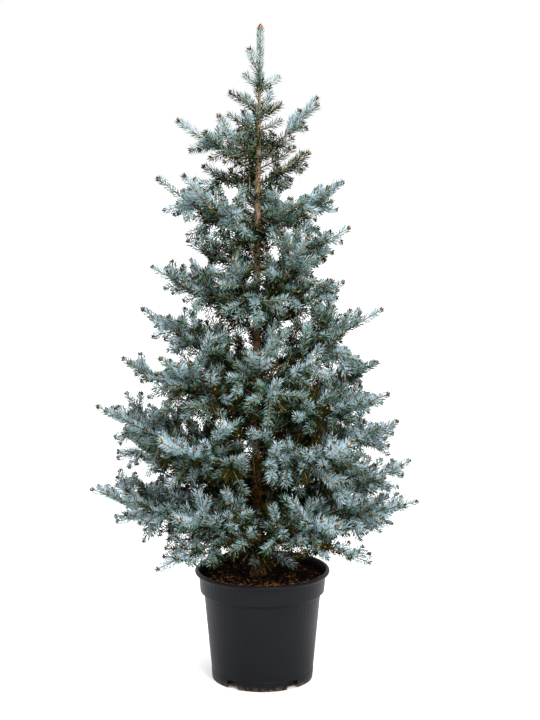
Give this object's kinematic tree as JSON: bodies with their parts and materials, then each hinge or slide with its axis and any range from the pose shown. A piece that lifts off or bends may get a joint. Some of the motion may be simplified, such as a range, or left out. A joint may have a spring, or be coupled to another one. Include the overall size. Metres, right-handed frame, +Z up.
{
  "type": "potted blue spruce",
  "caption": "Young blue spruce in a round black nursery pot: tapered trunk with whorls of boughs and plumes of blue-grey needles, standing on the pot's flat foot.",
  "frame": {"origin": "middle of the pot's underside, on the ground", "axes": "+Z up along the pot's axis, -Y the front as usually looked at, +X to its right"},
  "size_m": [0.7546, 0.6514, 1.5],
  "materials": {
    "pot": "moulded plastic, satin",
    "potting_bark": "damp shredded bark and coir",
    "bark": "scaly young bark",
    "foliage": "waxy blue-grey needles"
  },
  "bodies": {
    "root": {"bough_10_back": "bark", "bough_10_front_left": "bark", "bough_10_front_right": "bark", "bough_10_left": "bark", "bough_10_right": "bark", "bough_8_back": "bark", "bough_8_front_left": "bark", "bough_8_front_right": "bark", "bough_8_left": "bark", "bough_8_right": "bark", "foliage_10_back": "foliage", "foliage_10_front_left": "foliage", "foliage_10_front_right": "foliage", "foliage_10_left": "foliage", "foliage_10_right": "foliage", "foliage_11_back": "foliage", "foliage_11_front_left": "foliage", "foliage_11_front_right": "foliage", "foliage_11_left": "foliage", "foliage_11_right": "foliage", "foliage_1_back": "foliage", "foliage_1_front_left": "foliage", "foliage_1_left": "foliage", "foliage_1_right": "foliage", "foliage_2_front_right": "foliage", "foliage_2_left": "foliage", "foliage_3_back": "foliage", "foliage_3_front_left": "foliage", "foliage_3_front_right": "foliage", "foliage_3_left": "foliage", "foliage_3_right": "foliage", "foliage_4_left": "foliage", "foliage_4_right": "foliage", "foliage_5_back_left": "foliage", "foliage_5_back_right": "foliage", "foliage_5_front_left": "foliage", "foliage_5_front_right": "foliage", "foliage_5_left": "foliage", "foliage_5_right": "foliage", "foliage_6_left": "foliage", "foliage_6_right": "foliage", "foliage_7_back": "foliage", "foliage_7_front": "foliage", "foliage_7_front_left": "foliage", "foliage_7_front_right": "foliage", "foliage_7_left": "foliage", "foliage_7_right": "foliage", "foliage_8_back": "foliage", "foliage_8_front_left": "foliage", "foliage_8_front_right": "foliage", "foliage_8_left": "foliage", "foliage_8_right": "foliage", "foliage_9_front": "foliage", "foliage_9_left": "foliage", "foliage_9_right": "foliage", "foliage_leader": "foliage", "foliage_upper": "foliage", "pot": "pot", "soil": "potting_bark", "trunk": "bark"}
  },
  "joints": []
}
